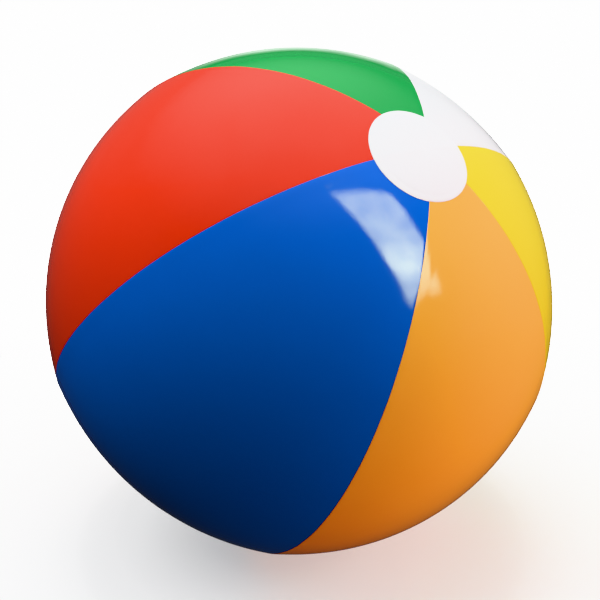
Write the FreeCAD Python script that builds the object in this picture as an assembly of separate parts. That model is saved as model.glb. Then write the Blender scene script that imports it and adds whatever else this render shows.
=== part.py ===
"""An inflatable beach ball of six welded vinyl panels, with its push-in valve, in millimetres.

The ball is modelled in its own frame first: its axis runs from pole to pole along +Z, and its seams
stand at whole multiples of the panel angle, counted from the one between white and yellow. The valve
has a frame of its own too, with +Z out of the ball and the outside of the skin at z = 0. Last, every
piece is turned and moved to where the ball lies, with +Z up and the origin at the centre of the flat
patch that it rests on.
"""

import FreeCAD, Part
import math
import os

from FreeCAD import Placement, Rotation, Vector

# The skin
RADIUS = 165.0  # from the centre out to a seam, at the ball's equator
POLE_RATIO = 0.955  # each pole's distance from the centre, as a share of the radius
PANEL_DIP = 0.012  # how far the middle of a panel lies inside its seams, as a share of the radius
DIP_START = 0.22  # the dip begins this far from the axis, as a share of the radius
FILM = 0.25
TIP_ANGLE = math.radians(1.5)  # a panel is cut off flat this close to a pole
PANELS = ["panel_white", "panel_green", "panel_red", "panel_blue", "panel_orange", "panel_yellow"]
PANEL_ANGLE = 2 * math.pi / len(PANELS)
POINTS_ALONG = 25  # of the surface of one panel, from tip to tip
POINTS_ACROSS = 9

# The round discs that cover the panel tips
DISC_RADIUS = 28.0
DISC_FILM = 0.3
DISC_CENTRE = (-6.4, -1.8)  # they are welded on a little off the poles

# How the ball lies, in degrees: it spins about its own axis, leans over, and then faces its heading
SPIN = 96.9
LEAN = 51.3
HEADING = -58.8
CONTACT_RADIUS = 18.0  # of the flat patch that the ball's weight presses onto the floor

# Where the valve is: in the middle of the white panel, and this far from the top pole
VALVE_ANGLE = math.radians(62.0)

# The valve, from the skin inwards
HOLE_RADIUS = 14.0  # of the hole in the white panel
FLANGE_OUTER = 20.0
FLANGE_INNER = 13.0
FLANGE_FILM = 0.6
SKIRT_WALL = 0.5
SKIRT_TOP = -1.15  # the middle of the skirt's wall where it leaves the flange
SKIRT_BENDS = [(11.5, -2.75), (10.3, -9.66), (8.4, -14.7)]  # radius and height of its middle, on the way in
SKIRT_GAP = 0.05  # between the skirt and the collar of the stem
SKIRT_STEPS = 12  # from which each side of its wall is drawn

STEM_TOP = 2.0
STEM_BOTTOM = -17.0
STEM_RADIUS = 5.5
LIP_RADIUS = 6.7
LIP_HEIGHT = 1.8
COLLAR_RADIUS = 6.6
COLLAR_HEIGHT = 1.8
SEAT_RADIUS = 3.9  # of the upper bore, which the plug closes
SEAT_DEPTH = 6.5
BORE_RADIUS = 3.5  # of the bore below it, which takes a pump's nozzle
SOCKET_RADIUS = 4.4  # of the recess that holds the check valve's seat
SOCKET_DEPTH = 3.0
ROUNDING = 0.6

HINGE_GAP = 0.1  # between a soft hinge's line and the pieces that meet there

# The plug and the strap that holds it
HINGE_OFFSET = 9.0  # from the axis of the stem to the line the strap bends along
PLUG_GAP = 0.05
HEAD_RADIUS = 6.5
HEAD_HEIGHT = 1.7
PEG = [(3.82, 0.0), (3.5, 2.5), (2.7, 5.0)]  # radius and depth, from the head to the tip
STRAP_WIDTH = 4.0
STRAP_THICKNESS = 0.9
STRAP_DROP = 0.1  # the strap's top lies this far under the line it bends along
TAB_REACH = 9.8  # of the pull tab, from the axis of the stem
TAB_WIDTH = 5.5
TAB_THICKNESS = 1.0

# The check valve at the stem's inner end
SEAT_BORE = 3.0
SEAT_FLANGE_RADIUS = 6.0
SEAT_FLANGE = 0.6
FLAP_RADIUS = 4.3
FLAP_THICKNESS = 0.45
FLAP_GAP = 0.05  # between the closed flap and its seat
FLAP_HINGE_OFFSET = 4.8
FLAP_WIDTH = 3.4  # of the hinged tail and of the block that it hangs on

REACH = 3 * RADIUS  # longer than anything here, for the shapes that only cut
SLOPE_STEP = 0.001  # in radians, between the points of the skin that give its slope
TOLERANCE = 0.01


def skin_point(angle, turn, depth):
    """The point of the skin at an angle from the top pole and a turn about the axis, depth under it."""
    across = 2 * (turn % PANEL_ANGLE) / PANEL_ANGLE - 1
    out = min(max((math.sin(angle) - DIP_START) / (1 - DIP_START), 0), 1)
    dip = PANEL_DIP * out * out * (3 - 2 * out) * (1 - across * across)
    radius = RADIUS * (1 - dip) - depth
    from_axis = radius * math.sin(angle)
    height = radius * math.cos(angle) * POLE_RATIO
    return Vector(from_axis * math.cos(turn), from_axis * math.sin(turn), height)


def skin_normal(angle, turn):
    """The outward direction of the skin at a point."""
    down = skin_point(angle + SLOPE_STEP, turn, 0) - skin_point(angle - SLOPE_STEP, turn, 0)
    round_axis = skin_point(angle, turn + SLOPE_STEP, 0) - skin_point(angle, turn - SLOPE_STEP, 0)
    return down.cross(round_axis).normalize()


def lowest_point(rotation):
    """The point of the turned skin that is lowest, found by narrowing a grid about the best so far."""
    angle = math.pi / 2
    turn = math.pi
    span = math.pi / 2
    steps = 8
    rounds = 14
    for _ in range(rounds):
        places = [
            (angle + span * i / steps, turn + 2 * span * j / steps)
            for i in range(-steps, steps + 1)
            for j in range(-steps, steps + 1)
        ]
        angle, turn = min(places, key=lambda place: rotation.multVec(skin_point(*place, 0)).z)
        span /= 3
    return rotation.multVec(skin_point(angle, turn, 0))


def resting_place():
    """The placement that takes the ball from its own frame to where it lies."""
    up, side = Vector(0, 0, 1), Vector(0, 1, 0)
    rotation = Rotation(up, HEADING) * Rotation(side, LEAN) * Rotation(up, SPIN)
    flattened = CONTACT_RADIUS**2 / (2 * RADIUS)
    return Placement(Vector(0, 0, -flattened) - lowest_point(rotation), rotation)


def valve_place():
    """The placement of the valve's frame in the ball's, its +X along the skin away from the top pole."""
    turn = PANEL_ANGLE / 2
    out = skin_normal(VALVE_ANGLE, turn)
    away = skin_point(VALVE_ANGLE + SLOPE_STEP, turn, 0) - skin_point(VALVE_ANGLE, turn, 0)
    rotation = Rotation(away, out.cross(away), out, "ZXY")
    return Placement(skin_point(VALVE_ANGLE, turn, 0), rotation)


RESTING = resting_place()
VALVE = valve_place()


def moved(shape, placement):
    """A copy of a shape, moved."""
    copy = shape.copy()
    copy.Placement = placement * copy.Placement
    return copy


def closing_face(edge):
    """The flat face between an edge of the skin and the ball's axis."""
    start, end = edge.Vertexes[0].Point, edge.Vertexes[-1].Point
    corners = [end, Vector(0, 0, end.z), Vector(0, 0, start.z), start]
    steps = zip(corners, corners[1:])
    lines = [Part.makeLine(a, b) for a, b in steps if a.distanceToPoint(b) > FILM]
    return Part.Face(Part.Wire(Part.__sortEdges__([edge, *lines])))


def wedge(number, depth):
    """The solid of one panel from the ball's axis out to a surface that lies depth under the outside."""
    grid = []
    for i in range(POINTS_ALONG):
        angle = TIP_ANGLE + (math.pi - 2 * TIP_ANGLE) * i / (POINTS_ALONG - 1)
        turns = [PANEL_ANGLE * (number + j / (POINTS_ACROSS - 1)) for j in range(POINTS_ACROSS)]
        grid.append([skin_point(angle, turn, depth) for turn in turns])
    surface = Part.BSplineSurface()
    surface.interpolate(grid)
    outside = surface.toShape()
    shell = Part.Shell([outside, *[closing_face(edge) for edge in outside.Edges]])
    shell.sewShape()
    return Part.Solid(shell)


def above(solid, height):
    """What a solid in the ball's frame has above a height over the floor that the ball lies on."""
    box = Part.makeBox(2 * REACH, 2 * REACH, REACH, Vector(-REACH, -REACH, height))
    return solid.common(moved(box, RESTING.inverse()))


def panel(number):
    """One panel of the skin: a shell as thick as the film, flat where it meets the floor."""
    return above(wedge(number, 0), 0).cut(above(wedge(number, FILM), FILM))


def ellipsoid(depth):
    """The ball as it is near its poles, where the panels don't dip."""
    ball = Part.makeSphere(RADIUS - depth)
    squash = FreeCAD.Matrix()
    squash.scale(1, 1, POLE_RATIO)
    return ball.transformGeometry(squash)


def pole_disc(side):
    """A round disc on the top pole, with side 1, or on the bottom pole, with side -1."""
    centre = Vector(*DISC_CENTRE, 0)
    column = Part.makeCylinder(DISC_RADIUS, REACH, centre, Vector(0, 0, side))
    return ellipsoid(-DISC_FILM).cut(ellipsoid(0)).common(column)


def valve_rod(radius, bottom, top):
    """A rod on the valve's axis, between two heights of the valve's frame."""
    return Part.makeCylinder(radius, top - bottom, Vector(0, 0, bottom))


def turned(outline):
    """The solid that an outline of radii and heights sweeps round the valve's axis."""
    corners = [Vector(radius, 0, height) for radius, height in outline]
    face = Part.Face(Part.makePolygon([*corners, corners[0]]))
    return face.revolve(Vector(0, 0, 0), Vector(0, 0, 1), 360)


def valve_block(start, end, width, bottom, top):
    """A block across the valve's frame, centred on its X axis, from start to end along it."""
    return Part.makeBox(end - start, width, top - bottom, Vector(start, -width / 2, bottom))


def rounded(solid, radius, *heights):
    """A solid with the round edges at these heights rounded off, those on its bores left alone."""
    edges = []
    for edge in solid.Edges:
        centre = edge.BoundBox.Center
        is_level = edge.BoundBox.ZLength < TOLERANCE
        at_height = any(abs(centre.z - height) < TOLERANCE for height in heights)
        if is_level and at_height and edge.BoundBox.XLength > 2 * STEM_RADIUS:
            edges.append(edge)
    return solid.makeFillet(radius, edges)


def panel_with_hole(number):
    """The panel that the valve is welded into."""
    hole = valve_rod(HOLE_RADIUS, 2 * STEM_BOTTOM, -2 * STEM_BOTTOM)
    return panel(number).cut(moved(hole, VALVE))


def flange():
    """The ring of the valve that is welded to the inside of the white panel."""
    ring = valve_rod(FLANGE_OUTER, STEM_BOTTOM, STEM_TOP).cut(valve_rod(FLANGE_INNER, STEM_BOTTOM, STEM_TOP))
    layer = wedge(0, FILM).cut(wedge(0, FILM + FLANGE_FILM))
    return layer.common(moved(ring, VALVE))


def skirt():
    """The thin cup between the flange and the stem, which rolls inside out when the stem is pulled."""
    half = SKIRT_WALL / 2
    foot = STEM_BOTTOM + COLLAR_HEIGHT / 2
    places = [(FLANGE_INNER, SKIRT_TOP), *SKIRT_BENDS, (COLLAR_RADIUS + SKIRT_GAP, foot)]
    middle = [Vector(radius, 0, height) for radius, height in places]
    inwards = Vector(-1, 0, 0)
    curve = Part.BSplineCurve()
    curve.interpolate(Points=middle, InitialTangent=inwards, FinalTangent=inwards)
    sides = ([], [])
    for i in range(SKIRT_STEPS + 1):
        at = curve.FirstParameter + (curve.LastParameter - curve.FirstParameter) * i / SKIRT_STEPS
        across = curve.tangent(at)[0].cross(Vector(0, 1, 0)) * half
        sides[0].append(curve.value(at) + across)
        sides[1].append(curve.value(at) - across)
    walls = []
    for points in sides:
        wall = Part.BSplineCurve()
        wall.interpolate(points)
        walls.append(wall.toShape())
    ends = [Part.makeLine(sides[0][i], sides[1][i]) for i in (0, -1)]
    face = Part.Face(Part.Wire(Part.__sortEdges__([*walls, *ends])))
    return face.revolve(Vector(0, 0, 0), Vector(0, 0, 1), 360)


def stem():
    """The tube that air goes in through, with a lip at its mouth and a collar where the skirt meets it."""
    lip = valve_rod(LIP_RADIUS, STEM_TOP - LIP_HEIGHT, STEM_TOP)
    collar = valve_rod(COLLAR_RADIUS, STEM_BOTTOM, STEM_BOTTOM + COLLAR_HEIGHT)
    body = valve_rod(STEM_RADIUS, STEM_BOTTOM, STEM_TOP).fuse([lip, collar]).removeSplitter()
    body = rounded(body, ROUNDING, STEM_TOP, STEM_TOP - LIP_HEIGHT, STEM_BOTTOM + COLLAR_HEIGHT)
    bores = [
        valve_rod(SEAT_RADIUS, STEM_TOP - SEAT_DEPTH, STEM_TOP),
        valve_rod(BORE_RADIUS, STEM_BOTTOM, STEM_TOP),
        valve_rod(SOCKET_RADIUS, STEM_BOTTOM, STEM_BOTTOM + SOCKET_DEPTH),
    ]
    return body.cut(bores[0].fuse(bores[1:]))


def strap():
    """The strap on the lip, as far as the line that it bends along."""
    top = STEM_TOP - STRAP_DROP
    end = HINGE_OFFSET - HINGE_GAP
    arm = valve_block(STEM_RADIUS, end, STRAP_WIDTH, top - STRAP_THICKNESS, top)
    return arm.cut(valve_rod(LIP_RADIUS, STEM_BOTTOM, STEM_TOP))


def plug():
    """The stopper: a peg under a round head, with a tab to pull and a tongue that reaches the strap."""
    foot = STEM_TOP + PLUG_GAP
    head = valve_rod(HEAD_RADIUS, foot, foot + HEAD_HEIGHT)
    head = rounded(head, ROUNDING, foot + HEAD_HEIGHT)
    tongue = valve_block(0, HINGE_OFFSET - HINGE_GAP, STRAP_WIDTH, foot, foot + STRAP_THICKNESS)
    tab = valve_block(TAB_WIDTH / 2 - TAB_REACH, 0, TAB_WIDTH, foot, foot + TAB_THICKNESS)
    tab_end = valve_rod(TAB_WIDTH / 2, foot, foot + TAB_THICKNESS)
    tab_end.translate(Vector(TAB_WIDTH / 2 - TAB_REACH, 0, 0))
    tip_depth = PEG[-1][1]
    outline = [(0, foot), *[(radius, foot - depth) for radius, depth in PEG], (0, foot - tip_depth)]
    return head.fuse([turned(outline), tongue, tab, tab_end]).removeSplitter()


def check_seat():
    """The ring pressed into the stem's inner end, with the block that the flap hangs on."""
    sleeve = valve_rod(SOCKET_RADIUS, STEM_BOTTOM, STEM_BOTTOM + SOCKET_DEPTH)
    rim = valve_rod(SEAT_FLANGE_RADIUS, STEM_BOTTOM - SEAT_FLANGE, STEM_BOTTOM)
    under = STEM_BOTTOM - SEAT_FLANGE
    start = FLAP_HINGE_OFFSET + HINGE_GAP
    bottom = under - FLAP_GAP - FLAP_THICKNESS
    block = valve_block(start, SEAT_FLANGE_RADIUS, FLAP_WIDTH, bottom, under)
    block = block.common(valve_rod(SEAT_FLANGE_RADIUS, bottom, under))
    body = sleeve.fuse([rim, block]).removeSplitter()
    return body.cut(valve_rod(SEAT_BORE, 2 * STEM_BOTTOM, STEM_TOP))


def flap():
    """The disc that air pressure closes over the seat from inside the ball."""
    top = STEM_BOTTOM - SEAT_FLANGE - FLAP_GAP
    disc = valve_rod(FLAP_RADIUS, top - FLAP_THICKNESS, top)
    tail = valve_block(0, FLAP_HINGE_OFFSET, FLAP_WIDTH, top - FLAP_THICKNESS, top)
    return disc.fuse(tail).removeSplitter()


def save(name, shape):
    """Writes a piece, in the ball's frame, as it lies."""
    solid = moved(shape, RESTING)
    if not solid.isValid() or solid.Volume <= 0 or len(solid.Solids) != 1:
        raise ValueError(f"{name} isn't one sound solid")
    solid.exportStep(f"parts/{name}.step")
    print(f"{name}: {solid.Volume:.1f} mm3")


def main():
    os.makedirs("parts", exist_ok=True)
    save(PANELS[0], panel_with_hole(0))
    for number in range(1, len(PANELS)):
        save(PANELS[number], panel(number))
    save("pole_disc_top", pole_disc(1))
    save("pole_disc_bottom", pole_disc(-1))
    save("valve_flange", flange())
    save("valve_skirt", moved(skirt(), VALVE))
    save("valve_stem", moved(stem(), VALVE))
    save("plug_strap", moved(strap(), VALVE))
    save("valve_plug", moved(plug(), VALVE))
    save("check_seat", moved(check_seat(), VALVE))
    save("check_flap", moved(flap(), VALVE))


if __name__ == "__main__":
    main()
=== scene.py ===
"""The looks of an inflatable beach ball: six glossy vinyl panels lap-welded along their seams, a round
disc over each pole and a push-in valve. Lengths are in metres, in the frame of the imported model."""

import math

import bpy
import numpy as np
from mathutils import Matrix, Vector


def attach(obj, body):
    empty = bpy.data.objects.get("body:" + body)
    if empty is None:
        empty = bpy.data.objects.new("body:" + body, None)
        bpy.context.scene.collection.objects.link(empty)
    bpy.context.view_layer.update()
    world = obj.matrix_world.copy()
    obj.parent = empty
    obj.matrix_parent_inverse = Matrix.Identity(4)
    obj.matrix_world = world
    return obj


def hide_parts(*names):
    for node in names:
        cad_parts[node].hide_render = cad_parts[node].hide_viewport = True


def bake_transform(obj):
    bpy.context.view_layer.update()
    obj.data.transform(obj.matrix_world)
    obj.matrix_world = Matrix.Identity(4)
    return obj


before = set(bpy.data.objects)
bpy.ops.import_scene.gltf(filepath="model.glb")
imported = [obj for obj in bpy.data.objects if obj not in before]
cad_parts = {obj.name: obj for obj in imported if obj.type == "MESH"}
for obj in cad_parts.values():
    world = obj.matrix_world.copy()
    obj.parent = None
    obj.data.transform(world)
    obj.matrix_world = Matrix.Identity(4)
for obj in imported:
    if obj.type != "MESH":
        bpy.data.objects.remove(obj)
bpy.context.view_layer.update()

MM = 0.001

# The skin, as in the CAD model
RADIUS = 165 * MM
POLE_RATIO = 0.955
PANEL_DIP = 0.012
DIP_START = 0.22
FILM = 0.25 * MM
COLOURS = ["white", "green", "red", "blue", "orange", "yellow"]  # in order round the ball
PANEL_ANGLE = 2 * math.pi / len(COLOURS)
SPIN, LEAN, HEADING = (math.radians(degrees) for degrees in (96.9, 51.3, -58.8))
CONTACT_RADIUS = 18 * MM
CONTACT_EASE = 0.1 * MM  # how softly the skin bends into the flat patch that it rests on
VALVE_ANGLE = math.radians(62)
SLOPE_STEP = 0.001  # in radians, between the points of the skin that give its slope

# The welded seams: each panel starts on its seam's line, over the end of the panel before it
LAP = 3.2 * MM  # how far a panel goes on under the next one
SEAM_RISE = 0.07 * MM  # of the upper film over the lower one, in the welded band
SEAM_SINK = 0.11 * MM  # of the lower film, there
SHOULDER = 4.0 * MM  # over which the band runs out into the panel
EDGE_ROUND = 0.35 * MM
EDGE_DROP = 0.12 * MM  # of the upper film's edge as it rounds over
PANEL_END = math.radians(4.5)  # the panels end this close to a pole, under the disc
PANEL_ROWS = 221
PANEL_STEPS = 25  # across half a panel
RIPPLES = [(31 * MM, 1, 1), (19.3 * MM, 0.6, 2.3)]  # along a seam: length, share of the height, shift
RIPPLE_HEIGHT = 0.035 * MM
RIPPLE_REACH = 9 * MM  # into the panel
RIPPLE_SHIFT = 1.7  # in radians, from one seam to the next

# The pole discs
DISC_RADIUS = 28 * MM
DISC_FILM = 0.3 * MM
DISC_SINK = 0.15 * MM  # of the underside into the panels that it is welded to
DISC_EDGE = 0.8 * MM  # the width of the rounded edge
DISC_EDGE_DROP = 0.22 * MM
DISC_WELD_RADIUS = 24.6 * MM
DISC_WELD_WIDTH = 1.1 * MM
DISC_WELD_SINK = 0.06 * MM
DISC_RIDGE = 0.1 * MM  # where it lies over a seam
DISC_RIDGE_WIDTH = 2 * MM
DISC_CENTRE = (-6.4 * MM, -1.8 * MM)  # across the ball's axis

# The valve, in a frame of its own: +Z out of the ball from the outside of the skin, and
# +X away from the top pole
HOLE_RADIUS = 14 * MM
FLANGE_RADIUS = 20 * MM
RING_RISE = 0.30 * MM  # of the white panel where the flange lies under it
RING_WELD = (15.2 * MM, 19 * MM)  # the inner and outer radius of the sunk weld
RING_SINK = 0.28 * MM
HOLE_EDGE = 0.25 * MM  # the width of the hole's rounded edge
HOLE_EDGE_DROP = 0.11 * MM
SKIRT_WALL = 0.5 * MM
PLUG_FOOT = 2.05 * MM
LATHE_STEP = 1.5  # the longest step along an outline that is turned, in millimetres

LIGHT_SIZE = 0.9

# The camera, from the ball's centre
CAMERA_DISTANCE = 2.817  # in radii of the ball
CAMERA_ELEVATION = math.radians(12)
BALL_SHARE = 0.80767  # of half the picture's width, which the ball's radius takes up
CAMERA_SHIFT = (-0.0025, -0.005)  # in widths of the picture


def smooth(t):
    """A step from 0 to 1 that starts and ends level."""
    t = np.clip(t, 0, 1)
    return t * t * (3 - 2 * t)


def skin(angle, turn, depth=0.0):
    """Points of the skin in the ball's frame, by angle from the top pole, turn about the axis and depth."""
    across = 2 * np.mod(turn, PANEL_ANGLE) / PANEL_ANGLE - 1
    out = smooth((np.sin(angle) - DIP_START) / (1 - DIP_START))
    radius = RADIUS * (1 - PANEL_DIP * out * (1 - across**2)) - depth
    from_axis = radius * np.sin(angle)
    height = radius * np.cos(angle) * POLE_RATIO
    return np.stack([from_axis * np.cos(turn), from_axis * np.sin(turn), height], -1)


def resting_matrix():
    """The matrix that takes the ball's frame to the row's, with the ball pressed a little onto the floor."""
    turn = Matrix.Rotation(HEADING, 4, "Z") @ Matrix.Rotation(LEAN, 4, "Y") @ Matrix.Rotation(SPIN, 4, "Z")
    rotation = np.array(turn)[:3, :3]
    angle, around, span = math.pi / 2, math.pi, math.pi / 2
    rounds, places = 14, 17
    for _ in range(rounds):
        offsets = np.linspace(-span, span, places)
        angles, arounds = np.meshgrid(angle + offsets, around + 2 * offsets, indexing="ij")
        heights = skin(angles, arounds) @ rotation[2]
        lowest = np.unravel_index(heights.argmin(), heights.shape)
        angle, around = angles[lowest], arounds[lowest]
        span /= 3
    low_point = rotation @ skin(angle, around)
    flattened = CONTACT_RADIUS**2 / (2 * RADIUS)
    return Matrix.Translation(Vector((0, 0, -flattened)) - Vector(low_point)) @ turn


def valve_matrix():
    """The matrix that takes the valve's frame to the ball's."""
    turn = PANEL_ANGLE / 2
    away = Vector(skin(VALVE_ANGLE + SLOPE_STEP, turn) - skin(VALVE_ANGLE, turn))
    sideways = Vector(skin(VALVE_ANGLE, turn + SLOPE_STEP) - skin(VALVE_ANGLE, turn - SLOPE_STEP))
    out = away.cross(sideways).normalized()
    across = out.cross(away).normalized()
    axes = Matrix((across.cross(out), across, out)).transposed().to_4x4()
    return Matrix.Translation(Vector(skin(VALVE_ANGLE, turn))) @ axes


RESTING = resting_matrix()
BALL_CENTRE = RESTING.translation
VALVE_IN_BALL = valve_matrix()
VALVE = RESTING @ VALVE_IN_BALL


def placed(points, matrix):
    """Points moved by a matrix."""
    m = np.array(matrix)
    return np.asarray(points) @ m[:3, :3].T + m[:3, 3]


def on_floor(points):
    """Points of the skin in the row's frame, with those that would be under the floor pressed onto it."""
    pressed = points.copy()
    z = points[..., 2]
    pressed[..., 2] = (z + np.sqrt(z**2 + CONTACT_EASE**2)) / 2
    return pressed


def grid_faces(rows, columns, first=0):
    """The quads of a grid of points, stored row by row."""
    index = first + np.arange(rows * columns).reshape(rows, columns)
    corners = index[:-1, :-1], index[1:, :-1], index[1:, 1:], index[:-1, 1:]
    return np.stack(corners, -1).reshape(-1, 4).tolist()


def circle(count):
    """Evenly spaced turns, all the way round."""
    return np.arange(count) * 2 * math.pi / count


def wheel_faces(rings, count):
    """The faces of rings of points, the smallest ring first, with one more point at their centre."""
    faces = []
    for i in range(rings - 1):
        for j in range(count):
            k = (j + 1) % count
            faces.append([i * count + j, (i + 1) * count + j, (i + 1) * count + k, i * count + k])
    return faces + [[rings * count, j, (j + 1) % count] for j in range(count)]


def film_piece(name, outside, inside, faces, material):
    """A piece made of a sheet of film: an outside and an inside, with rims round its open edges."""
    count = len(outside)
    used = {}  # a dictionary and not a set, so that the rims keep their order
    for face in faces:
        for a, b in zip(face, face[1:] + face[:1]):
            used[(a, b)] = True
    rims = [[b, a, a + count, b + count] for a, b in used if (b, a) not in used]
    backs = [[i + count for i in reversed(face)] for face in faces]
    return piece(name, np.concatenate([outside, inside]), faces + backs + rims, material)


def piece(name, points, faces, material, sharp=40):
    """A mesh object, smooth but for the edges that turn by more than sharp degrees."""
    mesh = bpy.data.meshes.new(name)
    mesh.from_pydata(np.asarray(points).tolist(), [], faces)
    mesh.update()
    mesh.shade_smooth()
    mesh.set_sharp_from_angle(angle=math.radians(sharp))
    mesh.materials.append(material)
    made = bpy.data.objects.new(name, mesh)
    bpy.context.scene.collection.objects.link(made)
    return made


def stand_for(made, node, body):
    """Makes a piece take a CAD node's place."""
    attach(made, body)
    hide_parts(node)


# ---------------------------------------------------------------------------------------- materials


def nodes_of(name):
    """A new material with its tree and its Principled shader."""
    material = bpy.data.materials.new(name)
    material.use_nodes = True
    tree = material.node_tree
    return material, tree, tree.nodes["Principled BSDF"]


def noise(tree, scale, detail=3.0, stretch=(1, 1, 1)):
    """A noise texture in the row's metres, and the socket that gives its value."""
    place = tree.nodes.new("ShaderNodeTexCoord")
    mapping = tree.nodes.new("ShaderNodeMapping")
    mapping.inputs["Scale"].default_value = stretch
    texture = tree.nodes.new("ShaderNodeTexNoise")
    texture.inputs["Scale"].default_value = scale
    texture.inputs["Detail"].default_value = detail
    tree.links.new(place.outputs["Object"], mapping.inputs["Vector"])
    tree.links.new(mapping.outputs["Vector"], texture.inputs["Vector"])
    return texture.outputs["Fac"]


def spread(tree, value, low, high, start=0.3, end=0.7):
    """A value from start to end, turned into one from low to high."""
    node = tree.nodes.new("ShaderNodeMapRange")
    node.inputs["From Min"].default_value = start
    node.inputs["From Max"].default_value = end
    node.inputs["To Min"].default_value = low
    node.inputs["To Max"].default_value = high
    tree.links.new(value, node.inputs["Value"])
    return node.outputs["Result"]


def mixed_colour(tree, share, first, second):
    """A colour between two, by a share."""
    node = tree.nodes.new("ShaderNodeMix")
    node.data_type = "RGBA"
    node.inputs["A"].default_value = (*first, 1)
    node.inputs["B"].default_value = (*second, 1)
    tree.links.new(share, node.inputs["Factor"])
    return node.outputs["Result"]


def bumped(tree, shader, height, distance):
    """Gives a shader fine relief from a height, distance metres high."""
    bump = tree.nodes.new("ShaderNodeBump")
    bump.inputs["Distance"].default_value = distance
    tree.links.new(height, bump.inputs["Height"])
    tree.links.new(bump.outputs["Normal"], shader.inputs["Normal"])


def vinyl(name, colour, deep, roughness=(0.05, 0.10)):
    """Glossy calendered film: faint clouding in its colour, a hazy handled gloss and a fine orange peel."""
    material, tree, shader = nodes_of(name)
    cloud = spread(tree, noise(tree, 9, 4), 0, 1)
    tree.links.new(mixed_colour(tree, cloud, colour, deep), shader.inputs["Base Color"])
    haze = spread(tree, noise(tree, 38, 6, (1, 1, 0.35)), *roughness)
    tree.links.new(haze, shader.inputs["Roughness"])
    shader.inputs["IOR"].default_value = 1.53
    bumped(tree, shader, noise(tree, 420, 2), 0.012 * MM)
    return material


def soft_vinyl():
    """The valve's milky soft vinyl: faintly blotchy, satin, with a little light inside it."""
    material, tree, shader = nodes_of("soft_vinyl")
    cloud = spread(tree, noise(tree, 160, 4), 0, 1)
    colour = mixed_colour(tree, cloud, (0.62, 0.68, 0.70), (0.52, 0.58, 0.605))
    tree.links.new(colour, shader.inputs["Base Color"])
    tree.links.new(spread(tree, noise(tree, 300, 5), 0.26, 0.42), shader.inputs["Roughness"])
    shader.inputs["Subsurface Weight"].default_value = 0.35
    shader.inputs["Subsurface Radius"].default_value = (1, 1, 1)
    shader.inputs["Subsurface Scale"].default_value = 1.2 * MM
    bumped(tree, shader, noise(tree, 900, 3), 0.01 * MM)
    return material


VINYLS = {
    "white": vinyl("white_vinyl", (0.82, 0.84, 0.86), (0.785, 0.81, 0.83)),
    "green": vinyl("green_vinyl", (0.008, 0.30, 0.062), (0.007, 0.275, 0.055)),
    "red": vinyl("red_vinyl", (0.74, 0.041, 0.012), (0.69, 0.036, 0.010)),
    "blue": vinyl("blue_vinyl", (0.0025, 0.128, 0.66), (0.0025, 0.116, 0.60)),
    "orange": vinyl("orange_vinyl", (0.97, 0.55, 0.09), (0.95, 0.51, 0.08)),
    "yellow": vinyl("yellow_vinyl", (0.82, 0.71, 0.040), (0.80, 0.67, 0.034)),
}
DISC_VINYL = vinyl("disc_vinyl", (0.85, 0.875, 0.895), (0.82, 0.85, 0.87))
SOFT_VINYL = soft_vinyl()


# ------------------------------------------------------------------------------------------- panels


def wobble(along, turn):
    """The faint unevenness of the film: ripples that follow the seams and die out into the panels."""
    arc = 2 * math.pi * RADIUS * along
    side = np.mod(turn, PANEL_ANGLE)
    from_seam = np.minimum(side, PANEL_ANGLE - side) * RADIUS * np.sin(along)
    phase = RIPPLE_SHIFT * np.round(turn / PANEL_ANGLE)
    ripple = sum(share * np.sin(arc / length + shift * phase) for length, share, shift in RIPPLES)
    return RIPPLE_HEIGHT * ripple * np.exp(-from_seam / RIPPLE_REACH)


def relief_over(distance):
    """Height over the plain skin at a distance into a panel from the seam where it lies on top."""
    band = 1 - smooth((distance - LAP) / SHOULDER)
    edge = np.clip(distance / EDGE_ROUND, 0, 1)
    return SEAM_RISE * band - EDGE_DROP * (1 - np.sqrt(1 - (1 - edge) ** 2))


def relief_under(distance):
    """Height over the plain skin at a distance into a panel from the seam where it lies below."""
    return -SEAM_SINK * (1 - smooth((distance + 0.2 * LAP) / (0.5 * LAP)))


def panel_columns(start, fixed, half_width):
    """Distances into a panel from one of its seams, for every row: the fixed ones, then wider steps."""
    near = np.concatenate([start, fixed])
    room = half_width[:, None] - near[-1]
    inner = near[-1] + room * np.linspace(0, 1, PANEL_STEPS)[None, 1:] ** 1.25
    return np.concatenate([np.repeat(near[None], len(half_width), 0), inner], 1)


def panel_sheet(number, rows):
    """The angles, turns and heights over the plain skin of one panel's grid of points."""
    ring = RADIUS * np.sin(rows)
    half_width = ring * PANEL_ANGLE / 2
    shoulder = LAP + SHOULDER * np.linspace(0, 1, 6)
    over = panel_columns(EDGE_ROUND * np.array([0, 0.2, 0.5, 1]), np.append(LAP / 2, shoulder), half_width)
    under = panel_columns(LAP * np.array([-1, -0.5, -0.2]), LAP * np.linspace(-0.1, 0.6, 7), half_width)
    turn_over = PANEL_ANGLE * number + over / ring[:, None]
    turn_under = PANEL_ANGLE * (number + 1) - under[:, -2::-1] / ring[:, None]
    turn = np.concatenate([turn_over, turn_under], 1)
    height = np.concatenate([relief_over(over), relief_under(under[:, -2::-1])], 1)
    angle = np.repeat(rows[:, None], turn.shape[1], 1)
    return angle, turn, height


def panel_rows():
    """The angles of a panel's rows of points, from one end to the other."""
    return np.linspace(PANEL_END, math.pi - PANEL_END, PANEL_ROWS)


def panel_points(angle, turn, height, depth=0.0):
    """Points of a panel in the row's frame."""
    raised = skin(angle, turn, depth - height - wobble(angle, turn))
    return on_floor(placed(raised, RESTING))


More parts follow.
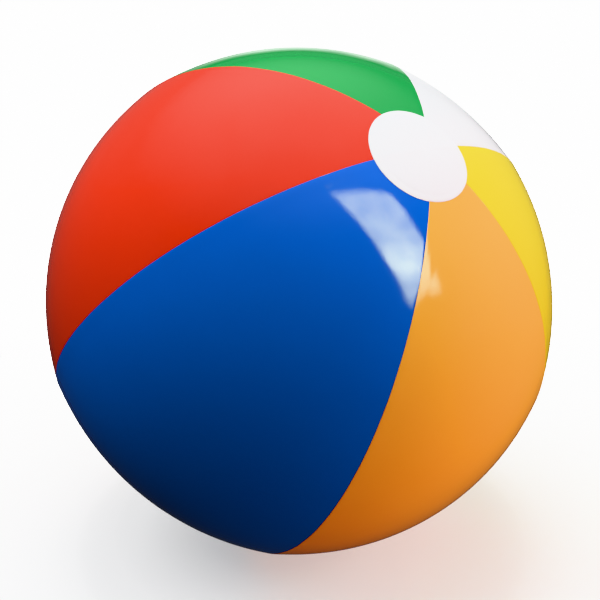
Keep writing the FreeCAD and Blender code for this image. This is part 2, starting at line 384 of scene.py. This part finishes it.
def valve_skin(x, y):
    """The angles and turns of the skin's points at places in the valve's frame, found step by step."""
    angle, turn = VALVE_ANGLE + x / RADIUS, PANEL_ANGLE / 2 + y / (RADIUS * math.sin(VALVE_ANGLE))
    rounds = 8
    for _ in range(rounds):
        now = placed(skin(angle, turn), VALVE_IN_BALL.inverted())
        angle = angle + (x - now[..., 0]) / RADIUS
        turn = turn + (y - now[..., 1]) / (RADIUS * np.sin(angle))
    return angle, turn


def hole_relief(radius):
    """Height of the white panel round the valve's hole: it is welded down onto the flange in a ring."""
    raised = RING_RISE * smooth((FLANGE_RADIUS + 0.9 * MM - radius) / (1.2 * MM))
    inner, outer = RING_WELD
    weld = RING_SINK * smooth((radius - inner) / (0.5 * MM)) * smooth((outer - radius) / (0.5 * MM))
    rim = np.clip(1 - (radius - HOLE_RADIUS) / HOLE_EDGE, 0, 1)
    return raised - weld - HOLE_EDGE_DROP * (1 - np.sqrt(1 - rim**2))


def cut_valve_hole(angle, turn, height):
    """The white panel's points and faces, with the part of its grid round the hole changed for rings."""
    rows, columns = angle.shape
    near = placed(skin(angle, turn), VALVE_IN_BALL.inverted())
    reach = FLANGE_RADIUS + 8 * MM  # of the hole in the grid, to each side
    in_rows = np.flatnonzero(np.abs(near[:, columns // 2, 0]) < reach)
    in_columns = np.flatnonzero(np.abs(near[in_rows[len(in_rows) // 2], :, 1]) < reach)
    top, bottom, first, last = in_rows[0], in_rows[-1], in_columns[0], in_columns[-1]
    index = np.arange(rows * columns).reshape(rows, columns)
    loop = np.concatenate([
        index[bottom, first:last],
        index[bottom:top:-1, last],
        index[top, last:first:-1],
        index[top:bottom, first],
    ])
    kept = np.ones((rows, columns), bool)
    kept[top + 1 : bottom, first + 1 : last] = False
    whole = np.ones((rows - 1, columns - 1), bool)
    whole[top:bottom, first:last] = False
    faces = [face for face, stays in zip(grid_faces(rows, columns), whole.ravel()) if stays]

    edge = near.reshape(-1, 3)[loop]
    edge_radius, bearing = np.hypot(edge[:, 0], edge[:, 1]), np.arctan2(edge[:, 1], edge[:, 0])
    # of the rings, in millimetres: close together at the weld's edges and at the hole's
    radii = [26, 24, 22.4, 21.4, 20.9, 20.6, 20.3, 20, 19.7, 19.3, 19, 18.75, 18.5, 18, 17, 16, 15.7, 15.45]
    radii += [15.2, 15, 14.7, 14.4, 14.25, 14.18, 14.1, 14.04, 14]
    new_angle, new_turn, new_height = [angle.ravel()], [turn.ravel()], [height.ravel()]
    outer, count = loop, len(loop)
    for number, radius in enumerate(radii):
        share = max(0, 1 - (number + 1) / 3)  # how much a ring keeps of the shape of the hole in the grid
        ring = radius * MM + share * (edge_radius - radii[0] * MM)
        ring_angle, ring_turn = valve_skin(ring * np.cos(bearing), ring * np.sin(bearing))
        new_angle.append(ring_angle)
        new_turn.append(ring_turn)
        new_height.append(hole_relief(ring))
        inner = rows * columns + number * count + np.arange(count)
        corners = outer, np.roll(outer, -1), np.roll(inner, -1), inner
        faces += np.stack(corners, -1).tolist()
        outer = inner
    used = np.concatenate([kept.ravel(), np.ones(len(radii) * count, bool)])
    renumbered = np.cumsum(used) - 1
    faces = [[int(renumbered[i]) for i in face] for face in faces]
    angle, turn, height = (np.concatenate(parts)[used] for parts in (new_angle, new_turn, new_height))
    return angle, turn, height, faces


def make_panel(number, colour):
    """One panel of the skin, which starts at the seam of its number."""
    angle, turn, height = panel_sheet(number, panel_rows())
    if colour == "white":
        angle, turn, height, faces = cut_valve_hole(angle, turn, height)
    else:
        faces = grid_faces(*angle.shape)
        angle, turn, height = angle.ravel(), turn.ravel(), height.ravel()
    outside = panel_points(angle, turn, height)
    inside = panel_points(angle, turn, height, FILM)
    made = film_piece(f"{colour}_panel", outside, inside, faces, VINYLS[colour])
    stand_for(made, f"panel_{colour}", "ball")


for number, colour in enumerate(COLOURS):
    make_panel(number, colour)


# ---------------------------------------------------------------------------------------- pole discs


def make_disc(name, side):
    """A disc over the top pole, with side 1, or the bottom pole, with side -1."""
    level = DISC_RADIUS - DISC_EDGE
    edge = level + DISC_EDGE * np.array([0.3, 0.6, 0.8, 0.92, 1])
    ring_at = np.concatenate([np.linspace(0, level, 48), edge])
    spokes = circle(192)
    out, spoke = np.meshgrid(ring_at[1:], spokes, indexing="ij")
    x = np.append(out * np.cos(spoke), 0) + DISC_CENTRE[0]
    y = np.append(out * np.sin(spoke), 0) + DISC_CENTRE[1]
    out = np.append(out.ravel(), 0)
    from_axis, turn = np.hypot(x, y), np.arctan2(y, x)
    angle = np.arcsin(from_axis / RADIUS)
    nearest = np.round(turn / PANEL_ANGLE) * PANEL_ANGLE
    off_seam = np.abs(from_axis * np.sin(turn - nearest))
    ridge = DISC_RIDGE * np.exp(-((off_seam / DISC_RIDGE_WIDTH) ** 2)) * smooth(from_axis / (9 * MM))
    weld = DISC_WELD_SINK * np.exp(-(((out - DISC_WELD_RADIUS) / DISC_WELD_WIDTH) ** 2))
    rounded_off = np.clip((out - level) / DISC_EDGE, 0, 1)
    drop = DISC_EDGE_DROP * (1 - np.sqrt(1 - rounded_off**2))
    height = DISC_FILM + ridge - weld - drop
    if side < 0:
        angle = math.pi - angle
    outside = placed(skin(angle, turn, -height), RESTING)
    inside = placed(skin(angle, turn, DISC_SINK), RESTING)
    faces = wheel_faces(len(ring_at) - 1, len(spokes))
    if side < 0:
        faces = [face[::-1] for face in faces]
    made = film_piece(f"{name}_film", outside, inside, faces, DISC_VINYL)
    stand_for(made, name, "ball")


make_disc("pole_disc_top", 1)
make_disc("pole_disc_bottom", -1)


# -------------------------------------------------------------------------------------------- valve


def filleted(corners, steps=5):
    """A closed outline of corners (x, y, fillet radius), with its corners rounded."""
    points = []
    for before, corner, after in zip(corners[-1:] + corners[:-1], corners, corners[1:] + corners[:1]):
        at = np.array(corner[:2])
        radius = corner[2]
        if not radius:
            points.append(at)
            continue
        towards = [np.array(other[:2]) - at for other in (before, after)]
        arms = [arm / np.linalg.norm(arm) for arm in towards]
        half = math.acos(np.clip(arms[0] @ arms[1], -1, 1)) / 2
        middle = (arms[0] + arms[1]) / np.linalg.norm(arms[0] + arms[1])
        centre = at + middle * radius / math.sin(half)
        start, end = (at + arm * radius / math.tan(half) - centre for arm in arms)
        sweep = math.pi - 2 * half
        side = math.copysign(1, start[0] * end[1] - start[1] * end[0])
        for step in range(steps + 1):
            bearing = side * sweep * step / steps
            cos, sin = math.cos(bearing), math.sin(bearing)
            points.append(centre + [cos * start[0] - sin * start[1], sin * start[0] + cos * start[1]])
    return np.array(points)


def divided(outline, longest):
    """A closed outline with points added, so that no step is longer than longest."""
    points = []
    for a, b in zip(outline, np.roll(outline, -1, 0)):
        parts = max(1, math.ceil(np.linalg.norm(b - a) / longest))
        points += [a + (b - a) * k / parts for k in range(parts)]
    return np.array(points)


def turned(outline, spokes):
    """The points that an outline of radii and heights is turned into, and their numbers, row by row."""
    around = circle(spokes)
    radius, height = outline[:, :1], np.repeat(outline[:, 1:], spokes, 1)
    points = np.stack([radius * np.cos(around), radius * np.sin(around), height], -1).reshape(-1, 3)
    return points, np.arange(len(points)).reshape(len(outline), spokes)


def lathed(outline, spokes=96):
    """The points and faces of a closed outline turned round the axis, taken clockwise."""
    points, index = turned(outline, spokes)
    below, beside = np.roll(index, -1, 0), np.roll(index, -1, 1)
    corners = index, below, np.roll(below, -1, 1), beside
    return points, np.stack(corners, -1).reshape(-1, 4).tolist()


def bent_band(path, half_width, half_thickness):
    """The points and faces of a flat band with rounded edges that follows a path in the valve's XZ plane."""
    path = np.array(path)
    along = np.gradient(path, axis=0)
    along /= np.linalg.norm(along, axis=1, keepdims=True)
    section = []
    for step in range(16):
        bearing = 2 * math.pi * (step + 0.5) / 16
        side = math.copysign(1, math.cos(bearing)) * (half_width - half_thickness)
        section.append((side + half_thickness * math.cos(bearing), half_thickness * math.sin(bearing)))
    section = np.array(section)
    across = np.stack([-along[:, 1], along[:, 0]], 1)
    count = len(section)
    points = np.empty((len(path), count, 3))
    points[:, :, 1] = section[:, 0]
    points[:, :, 0] = path[:, :1] + across[:, :1] * section[:, 1]
    points[:, :, 2] = path[:, 1:] + across[:, 1:] * section[:, 1]
    faces = []
    for i in range(len(path) - 1):
        for j in range(count):
            k = (j + 1) % count
            faces.append([i * count + j, i * count + k, (i + 1) * count + k, (i + 1) * count + j])
    last = (len(path) - 1) * count
    faces += [[*range(count)][::-1], [*range(last, last + count)]]
    return points.reshape(-1, 3), faces


def valve_piece(name, points, faces, sharp=40):
    """A piece of the valve, made in the valve's frame."""
    return piece(name, placed(points, VALVE), faces, SOFT_VINYL, sharp)


def make_stem():
    lip, collar, wall = 6.7, 6.6, 5.5
    corners = [
        (3.9, 2.0, 0.35), (lip, 2.0, 0.6), (lip, 0.2, 0.5), (wall, 0.2, 0.3), (wall, -15.2, 0.3),
        (collar, -15.2, 0.5), (collar, -17, 0.3), (4.4, -17, 0.2), (4.4, -14, 0), (3.5, -14, 0.2),
        (3.5, -4.5, 0.15), (3.9, -4.5, 0),
    ]
    outline = divided(filleted(corners), LATHE_STEP) * MM
    made = valve_piece("stem_tube", *lathed(outline))
    stand_for(made, "valve_stem", "stem")


def make_skirt():
    """The thin cup that rolls inside out when the stem is pulled."""
    knots = np.array([(13, -1.15), (11.5, -2.75), (10.3, -9.66), (8.4, -14.7), (6.65, -16.1)]) * MM
    middle = curve_through(knots, 40)
    along = np.gradient(middle, axis=0)
    along /= np.linalg.norm(along, axis=1, keepdims=True)
    across = np.stack([-along[:, 1], along[:, 0]], 1) * SKIRT_WALL / 2
    outline = np.concatenate([middle + across, (middle - across)[::-1]])
    made = valve_piece("rolling_skirt", *lathed(outline[::-1], 120))
    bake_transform(made)
    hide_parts("valve_skirt")


def curve_through(knots, steps):
    """Points on a smooth curve that passes through the knots, level at its first and last one."""
    slopes = np.gradient(knots, axis=0)
    slopes[0] = (knots[1][0] - knots[0][0], 0)
    slopes[-1] = (knots[-1][0] - knots[-2][0], 0)
    points = []
    for at in np.linspace(0, len(knots) - 1, steps + 1):
        i = min(int(at), len(knots) - 2)
        t = at - i
        start = (2 * t**3 - 3 * t**2 + 1) * knots[i] + (t**3 - 2 * t**2 + t) * slopes[i]
        end = (3 * t**2 - 2 * t**3) * knots[i + 1] + (t**3 - t**2) * slopes[i + 1]
        points.append(start + end)
    return np.array(points)


def make_strap():
    """The plug's strap: a flat loop from the lip, round the line that it bends along, to the head."""
    low, high, bend, thick = 1.45, 2.5, 8.75, 0.42
    radius, middle = (high - low) / 2, (high + low) / 2
    turns = [-math.pi / 2 + math.pi * step / 16 for step in range(17)]
    path = [(x, low) for x in np.linspace(5.9, bend, 8)[:-1]]
    path += [(bend + radius * math.cos(turn), middle + radius * math.sin(turn)) for turn in turns]
    path += [(x, high) for x in np.linspace(bend, 5.9, 8)[1:]]
    made = valve_piece("plug_loop", *bent_band(np.array(path) * MM, 2 * MM, thick * MM), sharp=60)
    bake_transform(made)
    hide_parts("plug_strap")


def make_plug():
    """The stopper: a domed head with a pull tab, and a tapered peg with a ring that seals in the bore."""
    foot, top, head = PLUG_FOOT / MM, PLUG_FOOT / MM + 1.7, 6.5
    corners = [
        (0, top - 0.15, 0), (head - 2.6, top - 0.15, 0.8), (head - 1.9, top, 0.5), (head, top, 0.6),
        (head, foot, 0.25), (3.8, foot, 0.2), (3.5, foot - 2.5, 0.8), (2.7, foot - 5, 0.7), (0, foot - 5, 0),
    ]
    outline = divided(filleted(corners), LATHE_STEP) * MM
    made = valve_piece("plug_head", *capped(outline, 96))
    tab_reach, tab_half_width, tab_thickness = 9.8, 2.75, 1
    tab_piece = valve_piece("pull_tab", *tab_shape(tab_reach, tab_half_width, foot, foot + tab_thickness))
    join = made.modifiers.new("tab", "BOOLEAN")
    join.operation = "UNION"
    join.solver = "EXACT"
    join.object = tab_piece
    settle(made)
    bpy.data.objects.remove(tab_piece)
    stand_for(made, "valve_plug", "plug")


def capped(outline, spokes):
    """A lathed solid whose outline starts and ends on the axis."""
    points, index = turned(outline[1:-1], spokes)
    beside = np.roll(index, -1, 1)
    corners = index[:-1], index[1:], beside[1:], beside[:-1]
    faces = np.stack(corners, -1).reshape(-1, 4).tolist()
    first, last = len(points), len(points) + 1
    faces += [[first, int(a), int(b)] for a, b in zip(index[0], beside[0])]
    faces += [[last, int(b), int(a)] for a, b in zip(index[-1], beside[-1])]
    ends = [[0, 0, outline[0][1]], [0, 0, outline[-1][1]]]
    return np.concatenate([points, ends]), faces


def tab_shape(reach, half, bottom, top):
    """A flat tab with a round end and soft edges, in millimetres, out to its reach along -X."""
    centre = half - reach
    outline = [(-half, -half), (centre, -half)]
    bearings = np.linspace(0, math.pi, 25)[1:-1]
    outline += [(centre - half * math.sin(bearing), -half * math.cos(bearing)) for bearing in bearings]
    outline += [(centre, half), (-half, half)]
    outline = np.array(outline)
    soft = 0.3
    levels = [(bottom, soft), (bottom + 0.1, 0.1), (bottom + soft, 0)]
    levels += [(top - soft, 0), (top - 0.1, 0.1), (top, soft)]
    middle = np.array([centre / 2 - half / 2, 0])
    points = []
    for height, inset in levels:
        pulled = outline.copy()
        away = outline - np.array([centre, 0])
        end = outline[:, 0] <= centre
        pulled[end] -= away[end] / half * inset
        pulled[~end, 1] -= np.sign(outline[~end, 1]) * inset
        points += [(x, y, height) for x, y in pulled]
    count = len(outline)
    faces = []
    for i in range(len(levels) - 1):
        for j in range(count):
            k = (j + 1) % count
            faces.append([i * count + k, i * count + j, (i + 1) * count + j, (i + 1) * count + k])
    last = (len(levels) - 1) * count
    points += [(*middle, bottom), (*middle, top)]
    low, high = len(points) - 2, len(points) - 1
    faces += [[low, j, (j + 1) % count] for j in range(count)]
    faces += [[high, last + (j + 1) % count, last + j] for j in range(count)]
    return np.array(points) * MM, faces


def settle(made):
    """Applies a piece's modifiers to its mesh."""
    depsgraph = bpy.context.evaluated_depsgraph_get()
    mesh = bpy.data.meshes.new_from_object(made.evaluated_get(depsgraph))
    made.modifiers.clear()
    made.data = mesh
    mesh.shade_smooth()
    mesh.set_sharp_from_angle(angle=math.radians(40))


make_stem()
make_skirt()
make_strap()
make_plug()
for node in ("valve_flange", "check_seat", "check_flap"):
    for material_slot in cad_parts[node].material_slots:
        material_slot.material = SOFT_VINYL


# ----------------------------------------------------------------------------------- stage and light


def stage_floor():
    """A wide round floor that fades into the backdrop."""
    spokes = circle(96)
    radii = [0.3, 0.8, 1.6, 3, 6]
    points = [(r * math.cos(a), r * math.sin(a), 0) for r in radii for a in spokes] + [(0, 0, 0)]
    faces = wheel_faces(len(radii), len(spokes))
    material, tree, shader = nodes_of("floor")
    shader.inputs["Base Color"].default_value = (0.55, 0.55, 0.55, 1)
    shader.inputs["Roughness"].default_value = 0.9
    shader.inputs["Specular IOR Level"].default_value = 0
    shader.inputs["Emission Strength"].default_value = 0.45
    material.cycles.emission_sampling = "NONE"
    place = tree.nodes.new("ShaderNodeTexCoord")
    length = tree.nodes.new("ShaderNodeVectorMath")
    length.operation = "LENGTH"
    tree.links.new(place.outputs["Object"], length.inputs[0])
    tree.links.new(spread(tree, length.outputs["Value"], 1, 0, 0.15, 0.8), shader.inputs["Alpha"])
    floor = piece("floor", points, faces, material)
    floor.visible_diffuse = floor.visible_glossy = floor.visible_shadow = False


def soft_light(name, place, power, colour=(1, 1, 1)):
    """A square of light that faces the ball, at a place given from its centre, and isn't in its gloss."""
    light = bpy.data.lights.new(name, "AREA")
    light.shape = "RECTANGLE"
    light.size = light.size_y = LIGHT_SIZE
    light.energy = power
    light.color = colour
    back = Vector(place).normalized()
    side = Vector((0, 1, 0)).cross(back).normalized()
    axes = Matrix((side, back.cross(side), back)).transposed().to_4x4()
    lamp = bpy.data.objects.new(name, light)
    lamp.matrix_world = Matrix.Translation(BALL_CENTRE + Vector(place)) @ axes
    lamp.visible_glossy = False
    bpy.context.scene.collection.objects.link(lamp)


def product(tree, first, second):
    """Two values multiplied."""
    node = tree.nodes.new("ShaderNodeMath")
    node.operation = "MULTIPLY"
    tree.links.new(first, node.inputs[0])
    tree.links.new(second, node.inputs[1])
    return node.outputs["Value"]


def mixed_value(tree, share, first, second):
    """A value between two, by a share."""
    node = tree.nodes.new("ShaderNodeMix")
    tree.links.new(share, node.inputs["Factor"])
    tree.links.new(first, node.inputs["A"])
    tree.links.new(second, node.inputs["B"])
    return node.outputs["Result"]


def light_card(name, corners, glow, band, soft, colour=(1, 1, 1)):
    """A glowing sheet that shows only in the gloss, with soft edges and a brighter band low across it.
    Its corners, from the ball's centre, go round it from the foot of its left side."""
    low_left, low_right, high_right, high_left = (BALL_CENTRE + Vector(corner) for corner in corners)
    rows, columns = 25, 13
    points, places = [], []
    for v in np.linspace(0, 1, rows):
        for u in np.linspace(0, 1, columns):
            points.append(low_left.lerp(high_left, v).lerp(low_right.lerp(high_right, v), u))
            places.append((u, v))
    material = bpy.data.materials.new(name)
    material.use_nodes = True
    tree = material.node_tree
    tree.nodes.remove(tree.nodes["Principled BSDF"])
    emission = tree.nodes.new("ShaderNodeEmission")
    emission.inputs["Color"].default_value = (*colour, 1)
    where = tree.nodes.new("ShaderNodeUVMap")
    split = tree.nodes.new("ShaderNodeSeparateXYZ")
    tree.links.new(where.outputs["UV"], split.inputs["Vector"])
    height = split.outputs["Y"]
    rise = product(tree, spread(tree, height, 0, 1, 0.15, 0.30), spread(tree, height, 1, 0, 0.32, 0.50))
    strength = spread(tree, rise, glow, band, 0, 1)
    strength = product(tree, strength, spread(tree, noise(tree, 6, 5), 0.65, 1.25))
    for axis in "XY":
        for start, end in ((0, soft), (1, 1 - soft)):
            strength = product(tree, strength, spread(tree, split.outputs[axis], 0, 1, start, end))
    tree.links.new(strength, emission.inputs["Strength"])
    tree.links.new(emission.outputs["Emission"], tree.nodes["Material Output"].inputs["Surface"])
    card = piece(name, points, grid_faces(rows, columns), material)
    layer = card.data.uv_layers.new(name="UVMap")
    for corner in card.data.loops:
        layer.data[corner.index].uv = places[corner.vertex_index]
    card.visible_camera = card.visible_diffuse = card.visible_shadow = False


def lights():
    """Soft light from all sides, warm from below, and what the gloss reflects."""
    soft_light("overhead", (0, 0, 1.3), 20)
    soft_light("from_right", (1.3, -0.1, 0.25), 15)
    soft_light("from_upper_left", (-0.9, -0.1, 0.9), 13)
    soft_light("from_front", (0.05, -0.8, 1.05), 4)
    soft_light("from_behind", (0, 1.3, 0.25), 9)
    soft_light("warm_low_right", (0.9, -0.5, -0.5), 8.0, (1, 0.34, 0.36))
    soft_light("warm_below", (0, -0.4, -1.2), 1.3, (1, 0.28, 0.22))
    front = [(0.705, -0.82, 0.16), (0.93, -0.55, 0.16), (0.56, -0.42, 0.80), (0.21, -0.66, 0.94)]
    light_card("window", front, 10, 19, 0.1, (0.97, 1.05, 0.70))
    back = [(0.65, 1.2, 0.08), (-0.45, 1.2, 0.08), (-0.45, 1.1, 0.78), (0.65, 1.1, 0.78)]
    light_card("back_window", back, 1.15, 1.3, 0.3)
    rim = [(0.3, 1.2, -0.55), (-0.3, 1.2, -0.55), (-0.3, 1.2, 0.05), (0.3, 1.2, 0.05)]
    light_card("rim_glow", rim, 0.6, 0.6, 0.35)


def studio_world():
    """White behind the scene, and for what the ball reflects and gathers a faint sky over a dark ground."""
    world = bpy.data.worlds.new("studio")
    world.use_nodes = True
    bpy.context.scene.world = world
    tree = world.node_tree
    output = tree.nodes["World Output"]
    sky = tree.nodes["Background"]
    place = tree.nodes.new("ShaderNodeTexCoord")
    split = tree.nodes.new("ShaderNodeSeparateXYZ")
    tree.links.new(place.outputs["Generated"], split.inputs["Vector"])
    sky.inputs["Color"].default_value = (1, 1, 1, 1)
    rays = tree.nodes.new("ShaderNodeLightPath")
    up = split.outputs["Z"]
    gathered = spread(tree, up, 0.02, 0.08, -0.3, 0.3)
    reflected = product(tree, spread(tree, up, 0.06, 0.2, -0.3, 0.3), spread(tree, up, 1, 5, 0.6, 0.9))
    seen = mixed_value(tree, rays.outputs["Is Glossy Ray"], gathered, reflected)
    tree.links.new(seen, sky.inputs["Strength"])
    backdrop = tree.nodes.new("ShaderNodeBackground")
    backdrop.inputs["Color"].default_value = (1, 1, 1, 1)
    backdrop.inputs["Strength"].default_value = 8
    mix = tree.nodes.new("ShaderNodeMixShader")
    tree.links.new(rays.outputs["Is Camera Ray"], mix.inputs["Fac"])
    tree.links.new(sky.outputs["Background"], mix.inputs[1])
    tree.links.new(backdrop.outputs["Background"], mix.inputs[2])
    tree.links.new(mix.outputs["Shader"], output.inputs["Surface"])


def camera():
    """The camera stands close to the ball and a little above it."""
    data = bpy.data.cameras.new("camera")
    made = bpy.data.objects.new("camera", data)
    back = Vector((0, -math.cos(CAMERA_ELEVATION), math.sin(CAMERA_ELEVATION)))
    made.location = BALL_CENTRE + back * CAMERA_DISTANCE * RADIUS
    made.rotation_euler = (math.pi / 2 - CAMERA_ELEVATION, 0, 0)
    data.sensor_width = 36
    data.lens = data.sensor_width / 2 * BALL_SHARE * CAMERA_DISTANCE
    data.shift_x, data.shift_y = CAMERA_SHIFT
    data.clip_start = 0.01
    bpy.context.scene.collection.objects.link(made)
    bpy.context.scene.camera = made


stage_floor()
studio_world()
lights()
camera()
bpy.context.scene.view_settings.view_transform = "Khronos PBR Neutral"
